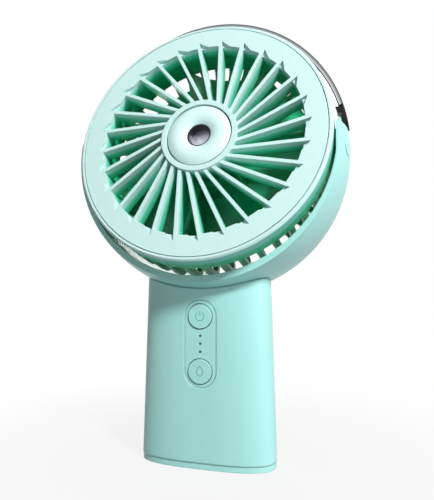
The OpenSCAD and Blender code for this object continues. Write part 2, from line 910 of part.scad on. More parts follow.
module front_grille() {
    notch_z = front_set - notch_depth;
    color(pale) in_head() {
        translate([0, 0, rib_z]) linear_extrude(seat_z - rib_z) {
            rib_plan();
            ring_plan(open_r + sleeve_t, open_r);
        }
        translate([0, 0, seat_z]) linear_extrude(notch_z - seat_z) {
            rib_plan();
            ring_plan(plate_r, open_r);
        }
        translate([0, 0, notch_z]) linear_extrude(notch_depth) {
            rib_plan();
            difference() {
                ring_plan(plate_r, open_r);
                for (k = [0 : rib_count - 1]) rotate(rib_phase + k * 360 / rib_count) notch_shape();
            }
        }
        tube(hub_r, hub_bore, front_set, hub_z);
        tube(hub_bore + 0.5, axle_r + run_gap, rib_z, floor_top);
    }
}

module nozzle_dome() {
    color(pale) in_head() rotate_extrude() difference() {
        union() {
            intersection() {
                translate([crest_r, crest_z - dome_curve]) circle(dome_curve);
                translate([crest_r, floor_top]) square([dome_r - crest_r, rib_depth + 4]);
            }
            intersection() {
                translate([crest_r, crest_z - funnel_r]) circle(funnel_r);
                translate([nozzle_r, floor_top]) square([funnel_w, rib_depth + 4]);
            }
        }
        // seat for the disc and its seal
        translate([0, floor_top - cut]) square([disc_r + 0.1, disc_top - floor_top + cut]);
        // hollow under the crest
        translate([disc_r + 1, floor_top - cut]) square([dome_r - disc_r - 2.4, 2.4 + cut]);
    }
}

module nozzle_collar() {
    color(black) in_head()
        tube(nozzle_r - fit_gap, nozzle_r - collar_wall, disc_top, mouth_z - 0.3);
}

module atomiser_disc() {
    color(steel) in_head() rod(disc_r, seal_top, disc_top);
}

module atomiser_seal() {
    color(rubber) in_head() tube(disc_r, axle_r + 0.8, floor_top, seal_top);
}

module wick() {
    color([0.95, 0.94, 0.90]) in_head() rod(axle_bore - fit_gap, tank_bottom + tank_wall, seal_top);
}

module hollow_axle() {
    color(steel) in_head() difference() {
        union() {
            rod(axle_r, rear_z, axle_top);
            rod(axle_flange_r, rear_z - axle_flange_t, rear_z);
        }
        rod(axle_bore, rear_z - axle_flange_t - cut, axle_top + cut);
    }
}

module stator_core() {
    ring_r = boss_r + 1.4;
    shoe_r = stator_r - 0.8;
    pole_w = 1.6;
    color([0.45, 0.46, 0.48]) in_head() translate([0, 0, stator_z]) linear_extrude(stator_len) {
        difference() {
            circle(ring_r);
            circle(axle_r + 1.2 + fit_gap);
        }
        for (k = [0 : pole_count - 1]) rotate(k * 360 / pole_count)
            translate([ring_r - 0.3, -pole_w / 2]) square([shoe_r - ring_r + 0.6, pole_w]);
        difference() {
            circle(stator_r);
            circle(shoe_r);
            for (k = [0 : pole_count - 1]) rotate((k + 0.5) * 360 / pole_count)
                translate([shoe_r - 1, -0.6]) square([3, 1.2]);
        }
    }
}

module stator_coils() {
    ring_r = boss_r + 1.5;
    shoe_r = stator_r - 1;
    pole_w = 1.6;
    coil_w = 3.1;
    color(copper) in_head() for (k = [0 : pole_count - 1]) rotate([0, 0, k * 360 / pole_count]) difference() {
        block([ring_r, -coil_w / 2, stator_z - coil_over], [shoe_r, coil_w / 2, stator_top + coil_over]);
        block([ring_r - cut, -pole_w / 2, stator_z], [shoe_r + cut, pole_w / 2, stator_top]);
    }
}

module motor_board() {
    color(board_green) in_head()
        tube(stator_r + 1.4, boss_r + fit_gap, motor_board_z, motor_board_z + motor_board_t);
}

module thrust_washer() {
    color(black) in_head() tube(axle_r + 1.1, axle_r + fit_gap, stator_top - 1, rotor_top - 0.9);
}

module axle_clip() {
    color(steel) in_head() tube(axle_r + 1.5, axle_r, clip_z, clip_z + clip_t);
}

module pivot_bushes() {
    color(bronze) in_head() both() difference() {
        xrod(pivot_bush_r, pin_in_x, pad_x - 0.2);
        xrod(pin_r + run_gap, pin_in_x - cut, pad_x + cut);
    }
}

module water_tank() {
    color([0.70, 0.88, 0.86]) in_head() difference() {
        union() {
            rod(tank_r, tank_bottom, rear_z);
            rod(tank_flange_r, rear_z - flange_t, rear_z);
        }
        rod(tank_in_r, tank_bottom + tank_wall, rear_z + cut);
        tube(gasket_out, gasket_in, rear_z - gasket_t, rear_z + cut);
        translate([0, fill_off, 0]) rod(fill_r, tank_bottom - cut, tank_bottom + tank_wall + cut);
        for (a = [0 : 90 : 270]) rotate([0, 0, a + 45]) translate([tank_screw_at, 0, 0])
            rod(tank_screw_r + fit_gap, rear_z - flange_t - cut, rear_z + cut);
    }
}

module tank_gasket() {
    color(rubber) in_head() tube(gasket_out, gasket_in, rear_z - gasket_t, rear_z);
}

module tank_screws() {
    color(steel) in_head() for (a = [0 : 90 : 270]) rotate([0, 0, a + 45]) translate([tank_screw_at, 0, 0]) {
        rod(tank_screw_r, rear_z - flange_t, rear_in_z - 0.6);
        rod(tank_head_r, rear_z - flange_t - tank_head_t, rear_z - flange_t);
    }
}

// curved section of one blade, centred on its chord
module blade_shape() {
    half = blade_arc / 2;
    intersection() {
        translate([-blade_curve * cos(half / 2), 0]) difference() {
            circle(blade_curve);
            circle(blade_curve - blade_t);
        }
        square([blade_curve, 2 * blade_curve * sin(half)], center = true);
    }
}

module impeller() {
    blade_z = (impeller_top + rotor_bottom) / 2 + 1;
    color(emerald) in_head() {
        tube(impeller_r, rotor_r + fit_gap, rotor_bottom - 0.4, rotor_top);
        tube(impeller_r, sleeve_r + fit_gap, rotor_top, impeller_top);
        intersection() {
            for (k = [0 : blade_count - 1]) rotate([0, 0, k * 360 / blade_count])
                translate([rotor_r + 0.7, 0, blade_z]) rotate([0, 90, 0])
                    linear_extrude(blade_r) rotate(90 - blade_pitch) blade_shape();
            rod(blade_r, rotor_bottom - blade_room, impeller_top + blade_room);
        }
    }
}

module rotor_cup() {
    color(steel) in_head() {
        tube(rotor_r, rotor_in_r, rotor_bottom, rotor_top);
        tube(rotor_in_r + 0.2, bush_r, rotor_top - rotor_wall, rotor_top);
        tube(sleeve_r, bush_r, rotor_top - rotor_wall, sleeve_top);
    }
}

module magnet_ring() {
    color([0.25, 0.25, 0.27]) in_head()
        tube(rotor_in_r - fit_gap, magnet_in_r, stator_z - 0.2, rotor_top - rotor_wall);
}

module rotor_bushes() {
    color(bronze) in_head() {
        tube(bush_r - fit_gap, axle_r + run_gap, rotor_top - rotor_wall, rotor_top - rotor_wall + bush_len);
        tube(bush_r - fit_gap, axle_r + run_gap, sleeve_top - bush_len, sleeve_top);
    }
}

// ring band of the hoop between two angles above the tilt axis
module hoop_band(ri, w, a0, a1) {
    translate([0, hinge_off, 0]) rotate([90, 0, 0]) rotate([0, 0, a0]) rotate_extrude(angle = a1 - a0)
        translate([ri, -w / 2]) square([hoop_out - ri, w]);
}

module hoop() {
    color([0.82, 0.83, 0.85]) in_yoke() hoop_band(hoop_in, hoop_w, hoop_ang, 180 - hoop_ang);
}

module hoop_ends() {
    color(black) in_yoke() both() difference() {
        intersection() {
            hoop_band(hoop_in - 1.2, 2 * hinge_r, 0, hoop_ang);
            union() {
                translate([0, hinge_off, hinge_off]) xrod(hinge_r, hoop_end_x, hoop_out);
                block([hoop_end_x, hinge_off - hinge_r, hinge_off], [hoop_out, hinge_off + hinge_r, hoop_end_up + 1]);
                block([head_r / 2, hinge_off - hinge_r, lug_clear_up], [hoop_out, hinge_off + hinge_r, hoop_end_up + 1]);
            }
        }
        translate([0, hinge_off, hinge_off]) xrod(hinge_pin_r + fit_gap, head_r, hoop_end_x + 1.6);
    }
}

module hoop_pins() {
    color(steel) in_yoke() both() translate([0, hinge_off, hinge_off])
        xrod(hinge_pin_r, lug_in_x, hoop_end_x + 1.6);
}

// push button with a retaining flange and a stem
module push_button() {
    yrod(button_r, panel_y - button_proud, button_flange_y + 0.2);
    yrod(button_flange_r, button_flange_y, button_flange_y + button_flange_t);
    yrod(stem_r, button_flange_y, stem_y);
}

module power_button() {
    color(pale) translate([0, 0, power_z]) push_button();
}

module mist_button() {
    color(pale) translate([0, 0, mist_z]) push_button();
}

module fill_plug() {
    color(rubber) in_head() translate([0, fill_off, 0]) {
        rod(fill_r - run_gap, tank_bottom, tank_bottom + tank_wall + 1.5);
        rod(fill_r + 2, tank_bottom - 1.6, tank_bottom);
    }
}

handle_shell();
base_cap();
base_screws();
yoke();
wire_cover();
yoke_screws();
pivot_pins();
pivot_caps();
friction_washers();
button_panel();
indicator_lenses();
control_board();
board_screws();
power_switch();
mist_switch();
battery();
battery_pad();
usb_board();
usb_socket();
rear_cage();
front_bezel();
cage_screws();
front_grille();
nozzle_dome();
nozzle_collar();
atomiser_disc();
atomiser_seal();
wick();
hollow_axle();
stator_core();
stator_coils();
motor_board();
thrust_washer();
axle_clip();
pivot_bushes();
water_tank();
tank_gasket();
tank_screws();
impeller();
rotor_cup();
magnet_ring();
rotor_bushes();
hoop();
hoop_ends();
hoop_pins();
power_button();
mist_button();
fill_plug();
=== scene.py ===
# %% [markdown]
# # A handheld misting fan
# A small fan with a round head on a flat oval handle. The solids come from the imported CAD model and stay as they
# are. Blender adds what solids lack: finishes, printed marks, recesses in the screws, a grip on the plug, the inside
# of the charging socket, light and a camera. Everything is in metres, with the middle of the base at the origin and
# the front towards -Y.

# %% Load the fixed frame
import json
import math

import bpy
from mathutils import Matrix, Vector


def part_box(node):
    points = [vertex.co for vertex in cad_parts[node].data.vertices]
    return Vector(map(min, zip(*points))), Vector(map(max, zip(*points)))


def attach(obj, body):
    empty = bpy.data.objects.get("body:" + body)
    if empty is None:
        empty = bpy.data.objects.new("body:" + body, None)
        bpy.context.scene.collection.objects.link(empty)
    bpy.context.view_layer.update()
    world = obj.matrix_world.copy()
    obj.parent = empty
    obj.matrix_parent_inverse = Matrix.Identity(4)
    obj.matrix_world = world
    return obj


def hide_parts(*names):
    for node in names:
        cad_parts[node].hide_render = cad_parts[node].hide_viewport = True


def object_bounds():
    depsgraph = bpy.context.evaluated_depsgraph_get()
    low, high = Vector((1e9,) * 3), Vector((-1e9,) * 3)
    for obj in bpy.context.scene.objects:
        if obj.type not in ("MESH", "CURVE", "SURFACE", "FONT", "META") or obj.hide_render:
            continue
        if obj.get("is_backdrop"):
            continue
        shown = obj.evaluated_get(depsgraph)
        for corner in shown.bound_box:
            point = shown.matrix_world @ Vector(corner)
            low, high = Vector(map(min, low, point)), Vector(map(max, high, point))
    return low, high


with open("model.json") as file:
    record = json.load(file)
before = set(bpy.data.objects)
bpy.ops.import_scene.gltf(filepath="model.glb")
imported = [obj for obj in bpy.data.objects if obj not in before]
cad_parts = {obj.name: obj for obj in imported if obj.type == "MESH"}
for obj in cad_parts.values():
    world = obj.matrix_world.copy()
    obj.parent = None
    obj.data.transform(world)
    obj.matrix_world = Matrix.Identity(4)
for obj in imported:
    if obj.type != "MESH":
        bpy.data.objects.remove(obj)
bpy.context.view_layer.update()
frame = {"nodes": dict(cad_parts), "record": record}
nodes = frame["nodes"]

# %% [markdown]
# ## The camera
# The photo was taken from a little right of the front and just below the middle of the head, from close by, so the
# perspective is strong. Three directions and a place fix that view. They were found by fitting the rim's ellipse
# and the edges of the handle. The camera could also be turned by hand, but numbers repeat exactly.

# %% Camera at the photo's view
view_back = Vector((0.2928, -0.9550, -0.0475)).normalized()
view_right = Vector((0.9561, 0.2931, 0.0)).normalized()
view_up = view_back.cross(view_right)
camera_place = Vector((0.06516, -0.201196, 0.075444))
camera_data = bpy.data.cameras.new("photo_camera")
camera_data.sensor_width = 36
camera_data.lens = 36.73
camera_data.clip_start = 0.01
camera = bpy.data.objects.new("photo_camera", camera_data)
turn = Matrix((view_right, view_up, view_back)).transposed().to_4x4()
camera.matrix_world = Matrix.Translation(camera_place) @ turn
bpy.context.scene.collection.objects.link(camera)
bpy.context.scene.camera = camera
bpy.context.scene.view_settings.view_transform = "Standard"
print("camera:", [round(v, 3) for v in camera.location])

# %% [markdown]
# ## Writing shaders as sums
# A material is a graph of nodes. Wiring each one by hand hides the idea behind it, so a small class stands for one
# socket and turns +, -, * and / into Math nodes. Every other node comes from its one method, add. A reader can
# then see a finish as a short formula.

# %% A socket that can be added and multiplied
class Wire:
    """One output socket of a node tree."""

    def __init__(self, tree, socket):
        self.tree = tree
        self.socket = socket

    @staticmethod
    def add(tree, kind, settings=None, inputs=None, output=0):
        node = tree.nodes.new(kind)
        for key, value in (settings or {}).items():
            if key == "stops":
                ramp = node.color_ramp
                while len(ramp.elements) < len(value):
                    ramp.elements.new(0.5)
                for element, (place, colour) in zip(ramp.elements, value):
                    element.position = place
                    element.color = colour
            else:
                setattr(node, key, value)
        for key, value in (inputs or {}).items():
            if isinstance(value, Wire):
                tree.links.new(value.socket, node.inputs[key])
            else:
                node.inputs[key].default_value = value
        return Wire(tree, node.outputs[output])

    def math(self, operation, first, second):
        return Wire.add(self.tree, "ShaderNodeMath", {"operation": operation}, {0: first, 1: second})

    def __add__(self, other):
        return self.math("ADD", self, other)

    def __sub__(self, other):
        return self.math("SUBTRACT", self, other)

    def __rsub__(self, other):
        return self.math("SUBTRACT", other, self)

    def __mul__(self, other):
        return self.math("MULTIPLY", self, other)

    def __truediv__(self, other):
        return self.math("DIVIDE", self, other)

    __radd__ = __add__
    __rmul__ = __mul__


def linear(red, green, blue):
    """A colour as a screen shows it, 0 to 255, turned into the light that Blender adds up."""
    parts = [v / 255 for v in (red, green, blue)]
    return tuple(v / 12.92 if v <= 0.04045 else ((v + 0.055) / 1.055) ** 2.4 for v in parts) + (1.0,)


print("mint as light:", [round(v, 3) for v in linear(152, 213, 208)])

# %% [markdown]
# ## Moulded plastic
# Nearly all of the fan is satin plastic from a mould. Such a surface is never one flat colour: it clouds slightly
# where the melt flowed, it carries a fine spark-eroded grain, and its edges are a little rounded, so they catch
# light. The Bevel node rounds the edges for the shader alone, which suits solids that must not be reshaped, and the
# colour along the edges is painted paler, a painted highlight. The handle's shell comes as fine flat facets, and a
# wider radius there smooths them away as well and widens the painted highlight.

# %% A plastic finish with grain, clouding, soft edges and a painted edge highlight
grain = 2400.0
grain_depth = 0.00003


def new_finish(name, **uniform):
    """An empty finish: its material, its tree, its shader, and the place on the piece."""
    material = bpy.data.materials.new(name)
    material.use_nodes = True
    tree = material.node_tree
    shader = tree.nodes["Principled BSDF"]
    for socket, value in uniform.items():
        shader.inputs[socket.replace("_", " ")].default_value = value
    place = Wire.add(tree, "ShaderNodeTexCoord", output="Object")
    return material, tree, shader, place


def connect(tree, shader, **sockets):
    """Feed wires into the shader's sockets."""
    for socket, wire in sockets.items():
        tree.links.new(wire.socket, shader.inputs[socket.replace("_", " ")])


def noise(place, scale, detail=2.0, rough=0.5):
    inputs = {"Vector": place, "Scale": scale, "Detail": detail, "Roughness": rough}
    return Wire.add(place.tree, "ShaderNodeTexNoise", inputs=inputs)


def mix_colour(factor, first, second):
    inputs = {0: factor, 6: first, 7: second}
    return Wire.add(factor.tree, "ShaderNodeMix", {"data_type": "RGBA"}, inputs, 2)


def vector(tree, operation, first, second, output=0):
    """Vector maths: a dot product gives its number at output 1."""
    return Wire.add(tree, "ShaderNodeVectorMath", {"operation": operation}, {0: first, 1: second}, output)


def bump(height, depth, strength=0.3, normal=None):
    inputs = {"Height": height, "Distance": depth, "Strength": strength}
    if normal:
        inputs["Normal"] = normal
    return Wire.add(height.tree, "ShaderNodeBump", inputs=inputs)


def moulded(name, deep, pale, roughness, gloss=1.0, edge=0.0004):
    """Satin plastic between two shades, with edges rounded by the shader and painted paler as a highlight."""
    material, tree, shader, place = new_finish(name, Specular_IOR_Level=gloss)
    cloud = noise(place, 38.0, 3.0)
    speck = noise(place, grain, 2.0)
    round_edge = Wire.add(tree, "ShaderNodeBevel", {"samples": 6}, {"Radius": edge})
    face = Wire.add(tree, "ShaderNodeNewGeometry", output="Normal")
    agree = vector(tree, "DOT_PRODUCT", round_edge, face, 1)
    # Painted highlight: where the rounded normal leaves the face, the colour is pushed towards the pale shade.
    painted_edge_highlight = (1.0 - agree) * 1.6
    connect(tree, shader,
            Base_Color=mix_colour(cloud * 0.5 + speck * 0.15 + painted_edge_highlight, deep, pale),
            Roughness=cloud * 0.1 + speck * 0.08 + (roughness - 0.09),
            Normal=bump(speck, grain_depth, 0.25, round_edge))
    return material


mint_deep, mint_pale = linear(152, 213, 208), linear(168, 222, 218)
mint = moulded("satin_mint", mint_deep, mint_pale, 0.42)
shell_mint = moulded("satin_mint_shell", mint_deep, mint_pale, 0.42, edge=0.0012)
pale_mint = moulded("satin_pale_mint", linear(196, 232, 228), linear(212, 240, 236), 0.4)
emerald = moulded("satin_emerald", linear(10, 166, 112), linear(36, 190, 138), 0.38)
black = moulded("satin_black", linear(8, 10, 10), linear(26, 29, 29), 0.36, gloss=0.25)
print("plastics:", [m.name for m in (mint, shell_mint, pale_mint, emerald, black)])

# %% [markdown]
# ## The grille and the ring round it
# The grille is one pale moulding, yet only its face looks pale in the photo. Its ribs are lit from the face, and
# deeper down they take the green of the cage behind them; the finish paints this in, so the colour darkens and turns
# green with the distance behind the face, a painted shade with a painted green cast. The ring round it is pale on
# its front edge only, and its side has the mint of the handle, painted darker and darker further back as painted
# shade. One finish whose colour follows the distance behind the face gives both looks from every side. The distance
# is a dot product with the fan axis, which leans back.

# %% A finish painted darker behind the face
head_centre = Vector((0, 0, 0.1266))
head_lean = math.radians(15.6)
fan_axis = Vector((0, -math.cos(head_lean), math.sin(head_lean)))
face_level = 0.0137


def ahead_of_pivot(place):
    """Distance in front of the tilt axis, measured along the fan axis."""
    return vector(place.tree, "DOT_PRODUCT", place, fan_axis, 1) - head_centre.dot(fan_axis)


def painted_depth_shade(name, shades):
    """Satin plastic whose colour darkens with the depth behind the face, a painted shade: shades pair millimetres
    with a colour.
    """
    material, tree, shader, place = new_finish(name)
    deepest = shades[-1][0]
    depth = (face_level - ahead_of_pivot(place)) * (1000.0 / deepest)
    cloud = noise(place, 60.0, 3.0)
    speck = noise(place, grain, 2.0)
    soft_edge = Wire.add(tree, "ShaderNodeBevel", {"samples": 6}, {"Radius": 0.0003})
    stops = [(millimetres / deepest, colour) for millimetres, colour in shades]
    shade = Wire.add(tree, "ShaderNodeValToRGB", {"stops": stops}, {0: depth + cloud * 0.06 - 0.03})
    connect(tree, shader, Base_Color=shade, Roughness=cloud * 0.1 + speck * 0.06 + 0.26,
            Normal=bump(speck, grain_depth, 0.25, soft_edge))
    return material


# The grille's face keeps its pale colour; deeper down it is painted dark green, a painted shade with a painted green
# cast from the cage.
grille_painted_shade = painted_depth_shade("grille_finish_painted_shade", [(0.0, linear(192, 226, 222)), (2.0, linear(186, 226, 220)),
                                           (3.6, linear(92, 212, 182)), (7.0, linear(14, 176, 124))])
# The ring's front edge is pale; its side is mint, painted darker than the handle and darker still further back, a
# painted shade.
ring_painted_shade = painted_depth_shade("ring_painted_shade", [(0.0, linear(194, 226, 222)), (0.5, linear(190, 225, 220)),
                                    (0.9, linear(124, 203, 190)), (6.0, linear(88, 186, 164))])
print("deepening finishes:", grille_painted_shade.name, ring_painted_shade.name)

# %% [markdown]
# ## Metals
# The carrying hoop is chromed, so it is almost a mirror with faint lines from the brushing wheel running round it.
# Screws, pins and shafts are plain steel, bushes are bronze, and the motor has iron plates and copper coils.
# One function makes a brushed metal: noise that is stretched along the brushing gives its lines.

# %% Brushed metals
def brushed(name, dull, bright, roughness, stretch, lines=0.12):
    """Metal with lines: stretch gives how fast the pattern changes along X, Y and Z."""
    material, tree, shader, place = new_finish(name, Metallic=1.0)
    drawn = Wire.add(tree, "ShaderNodeMapping", inputs={"Vector": place, "Scale": stretch})
    line = noise(drawn, 1.0, 3.0)
    smear = noise(place, 60.0, 2.0)
    connect(tree, shader,
            Base_Color=mix_colour(line * 0.7 + smear * 0.3, dull, bright),
            Roughness=line * lines + smear * 0.06 + roughness,
            Normal=bump(line, 0.00001, 0.2))
    return material


steel = brushed("turned_steel", linear(130, 132, 136), linear(190, 192, 196), 0.2, (900.0, 900.0, 900.0))
bronze = brushed("bush_bronze", linear(132, 92, 48), linear(190, 146, 86), 0.3, (700.0, 700.0, 700.0))
iron = brushed("dark_iron", linear(58, 60, 64), linear(96, 98, 102), 0.4, (60.0, 2800.0, 900.0))
copper = brushed("coil_copper", linear(150, 70, 30), linear(222, 132, 78), 0.22, (2600.0, 2600.0, 120.0), 0.2)
print("metals:", [m.name for m in (steel, bronze, iron, copper)])

# %% [markdown]
# ## The chromed hoop
# The hoop is a bent strip of chrome. Its colour carries painted reflections: a colour ramp across the strip paints
# dark lines at its edges, bright bands beside them and a grey streak along the middle. On the strip's front and back
# edge faces, a second ramp paints dark and bright bands across its thickness. The ramp carries these lines round the
# whole bend, because the strip keeps its width along Y.

# %% Chrome with painted reflections: dark edge lines and streaks
chrome, tree, shader, place = new_finish("chrome_painted_reflections", Metallic=1.0)
across = Wire.add(tree, "ShaderNodeSeparateXYZ", inputs={0: place}, output="Y")
strip_low, strip_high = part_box("hoop")
share = (across - strip_low.y) / (strip_high.y - strip_low.y)
drawn = Wire.add(tree, "ShaderNodeMapping", inputs={"Vector": place, "Scale": (40.0, 3000.0, 40.0)})
line = noise(drawn, 1.0, 3.0)
# Painted reflections across the strip's face: dark edge lines, bright bands and a grey streak in the middle.
stops = [(0.0, linear(52, 56, 57)), (0.07, linear(120, 124, 126)), (0.16, linear(222, 226, 227)),
         (0.42, linear(196, 200, 202)), (0.52, linear(112, 117, 119)), (0.62, linear(188, 192, 194)),
         (0.88, linear(214, 218, 219)), (0.95, linear(96, 100, 102)), (1.0, linear(52, 56, 57))]
flat = Wire.add(tree, "ShaderNodeValToRGB", {"stops": stops}, {0: share + line * 0.05 - 0.025})
from_axle = vector(tree, "SUBTRACT", place, head_centre)
in_plane = vector(tree, "MULTIPLY", from_axle, (1, 0, 1))
radius = Wire.add(tree, "ShaderNodeVectorMath", {"operation": "LENGTH"}, {0: in_plane}, 1)
# Painted reflections across the strip's thickness, used on its front and back edge faces.
stops = [(0.0, linear(24, 28, 29)), (0.2, linear(70, 74, 76)), (0.34, linear(226, 230, 231)),
         (0.55, linear(172, 176, 178)), (0.8, linear(128, 132, 134)), (1.0, linear(58, 62, 63))]
strip_outside = strip_high.z - head_centre.z
strip_thickness = 0.0022
rim_share = (radius - (strip_outside - strip_thickness)) / strip_thickness
painted_edge_reflections = Wire.add(tree, "ShaderNodeValToRGB", {"stops": stops}, {0: rim_share})
off_middle = (share - 0.5) * (share - 0.5)
at_edge = off_middle.math("GREATER_THAN", off_middle, 0.24)
connect(tree, shader, Base_Color=mix_colour(at_edge, flat, painted_edge_reflections), Roughness=line * 0.12 + 0.1,
        Normal=bump(line, 0.00001, 0.25))
print("hoop finish:", chrome.name)

# %% [markdown]
# ## The spraying disc
# Deep in the nozzle sits a thin metal disc with thousands of fine holes that breaks water into mist. In the photo it
# looks grey with a violet tint. Small cells painted dark stand for the holes, a painted shade in place of real
# holes, because real ones are far too small to cut.

# %% Spraying disc with its pierced middle
spray, tree, shader, place = new_finish("spray_disc", Metallic=0.8)
holes = Wire.add(tree, "ShaderNodeTexVoronoi", {"feature": "F1"}, {"Vector": place, "Scale": 2600.0})
# Dark cells are painted shade standing for the holes.
dark_to_light = [(0.0, (0, 0, 0, 1)), (0.35, (1, 1, 1, 1))]
tone = Wire.add(tree, "ShaderNodeValToRGB", {"stops": dark_to_light}, {0: holes})
haze = noise(place, 500.0, 2.0)
connect(tree, shader,
        Base_Color=mix_colour(tone * 0.6 + haze * 0.4, linear(150, 152, 170), linear(222, 224, 238)),
        Roughness=haze * 0.2 + 0.28,
        Normal=bump(tone, 0.00002, 0.4))
print("disc:", spray.name)

# %% [markdown]
# ## Rubber, cotton, foil and boards
# Pieces inside get a finish of their own as well, because the fan can be opened in the library. Rubber is dull
# with a fine speckle, the wick is pressed cotton with fibres, the battery is a wrinkled foil pouch, and the boards
# are green lacquer over copper tracks.

# %% Finishes of the inner pieces
def soft_matt(name, dark, light, roughness, scale, depth):
    """Matt stuff: rubber with a fine scale, cotton with a coarser and deeper one."""
    material, tree, shader, place = new_finish(name)
    fibre = noise(place, scale, 6.0, 0.65)
    patch = noise(place, 60.0, 2.0)
    connect(tree, shader,
            Base_Color=mix_colour(fibre * 0.6 + patch * 0.4, dark, light),
            Roughness=fibre * 0.15 + (roughness - 0.08),
            Normal=bump(fibre, depth, 0.5))
    return material


rubber = soft_matt("dull_rubber", linear(92, 100, 100), linear(142, 150, 149), 0.75, 1500.0, 0.00003)
cotton = soft_matt("pressed_cotton", linear(214, 209, 198), linear(246, 244, 238), 0.95, 1900.0, 0.00012)

foil, tree, shader, place = new_finish("pouch_foil", Metallic=0.85)
crease = noise(place, 130.0, 5.0, 0.6)
connect(tree, shader,
        Base_Color=mix_colour(crease, linear(150, 153, 158), linear(212, 214, 217)),
        Roughness=crease * 0.25 + 0.22,
        Normal=bump(crease, 0.0004, 0.5))

board, tree, shader, place = new_finish("lacquered_board")
cells = Wire.add(tree, "ShaderNodeTexVoronoi", {"feature": "DISTANCE_TO_EDGE"},
                 {"Vector": place, "Scale": 420.0})
light_to_dark = [(0.05, (1, 1, 1, 1)), (0.09, (0, 0, 0, 1))]
track = Wire.add(tree, "ShaderNodeValToRGB", {"stops": light_to_dark}, {0: cells})
connect(tree, shader,
        Base_Color=mix_colour(track, linear(14, 84, 52), linear(52, 132, 84)),
        Roughness=track * 0.1 + 0.28,
        Normal=bump(track, 0.00004, 0.5))
print("inner finishes:", [m.name for m in (rubber, cotton, foil, board)])

# %% [markdown]
# ## Clear tank and lamp lenses
# The tank on the back is tinted clear plastic, so the light goes through and bends. The three small lenses on the
# button panel are dark when the fan is off. Clear plastic needs transmission, which is the same all over and is
# set on the shader itself; only a faint haze from handling varies its roughness.

# %% Clear finishes
def clear(name, dark, light, roughness, passes):
    """Tinted clear plastic that lets a share of the light through."""
    material, tree, shader, place = new_finish(name, Transmission_Weight=passes, IOR=1.46)
    haze = noise(place, 90.0, 4.0)
    connect(tree, shader,
            Base_Color=mix_colour(haze, dark, light),
            Roughness=haze * 0.12 + roughness,
            Normal=bump(haze, 0.00005, 0.2))
    return material


tank_clear = clear("tinted_clear", linear(150, 222, 205), linear(205, 242, 233), 0.1, 0.75)
lens_clear = clear("lamp_lens", linear(34, 84, 78), linear(66, 122, 114), 0.12, 0.3)
print("clear finishes:", tank_clear.name, lens_clear.name)

# %% [markdown]
# ## The charging socket
# The socket low on the back has a pressed steel shell. Inside it a black tongue carries gold contacts. One finish
# serves the whole solid: a mask picks the tongue by its place, and stripes along X pick the contacts on it.

# %% Socket with a black tongue and gold contacts
def bar_mask(along, across, half_length, half_width):
    """1 inside a bar, 0 outside. Squares spare the absolute values."""
    near = along.math("LESS_THAN", along * along, half_length ** 2)
    thin = across.math("LESS_THAN", across * across, half_width ** 2)
    return near * thin


socket_steel, tree, shader, place = new_finish("socket_steel")
low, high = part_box("usb_socket")
x, y, z = (Wire.add(tree, "ShaderNodeSeparateXYZ", inputs={0: place}, output=axis) for axis in "XYZ")
above_tongue = z - (low.z + high.z) / 2
mouth_depth = 0.0009
half_pitch, half_contact = 0.00025, 0.00013
tongue = bar_mask(x, above_tongue, 0.00335, 0.0004)
inside = y.math("LESS_THAN", y, high.y - mouth_depth)
pitch = x.math("PINGPONG", x, half_pitch)
contact = pitch.math("LESS_THAN", pitch, half_contact) * bar_mask(x, above_tongue, 0.0028, 0.0005)
pressed = noise(place, 900.0, 3.0)
shell_shade = mix_colour(pressed, linear(150, 152, 156), linear(206, 208, 210))
tongue_shade = mix_colour(contact, linear(18, 19, 20), linear(214, 170, 84))
connect(tree, shader,
        Base_Color=mix_colour(tongue * inside, shell_shade, tongue_shade),
        Metallic=1.0 - tongue * inside * (1.0 - contact),
        Roughness=pressed * 0.15 + 0.2,
        Normal=bump(pressed, 0.00001, 0.3))
print("socket finish:", socket_steel.name)

# %% [markdown]
# ## Dressing the solids
# Each solid gets the finish that its slot in the record names. A few pieces get a closer finish of their own: the
# spraying disc, the grille and its ring, the handle's shell, the socket, and the buttons with their panel, which
# match the handle in the photo.

# %% Give every solid its finish
finish_of_slot = {
    "mint_plastic": mint, "pale_mint_plastic": pale_mint, "green_plastic": emerald, "black_plastic": black,
    "bright_chrome": chrome, "steel": steel, "bronze": bronze, "iron": iron, "copper_wire": copper,
    "grey_rubber": rubber, "cotton": cotton, "foil": foil, "board": board,
    "clear_green_plastic": tank_clear, "lens": lens_clear}
special = {
    "atomiser_disc": spray, "front_grille": grille_painted_shade, "front_bezel": ring_painted_shade, "handle_shell": shell_mint,
    "button_panel": mint, "power_button": mint, "mist_button": mint, "usb_socket": socket_steel}
for part in frame["record"]["subparts"]:
    solid = nodes[part["node"]]
    solid.data.materials.clear()
    solid.data.materials.append(special.get(part["node"], finish_of_slot[part["material_slot"]]))

# %% [markdown]
# ## Marks on the buttons
# Each button carries a faint mark in a deeper green: a ring with a bar for power, and a drop for mist. They are
# generic signs, pad-printed on the plastic. A print could be painted by a mask as well, but a thin mesh keeps a
# clean outline at any distance and moves with its button. Half of its thickness lies in the face.

# %% Ink, and helpers for marks
film_thickness = 0.00006
upright_turn = (math.radians(90), 0, 0)


def face_of(node):
    """Middle of the front face of a solid."""
    low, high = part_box(node)
    return Vector(((low.x + high.x) / 2, low.y, (low.z + high.z) / 2))


def pick(item, group, test):
    """Select the faces or the vertices whose place passes a test, and stay in edit mode."""
    bpy.ops.mesh.select_all(action="DESELECT")
    bpy.ops.mesh.select_mode(type="FACE" if group == "polygons" else "VERT")
    bpy.ops.object.mode_set(mode="OBJECT")
    for part in getattr(item.data, group):
        part.select = test(part.center if group == "polygons" else part.co)
    bpy.ops.object.mode_set(mode="EDIT")


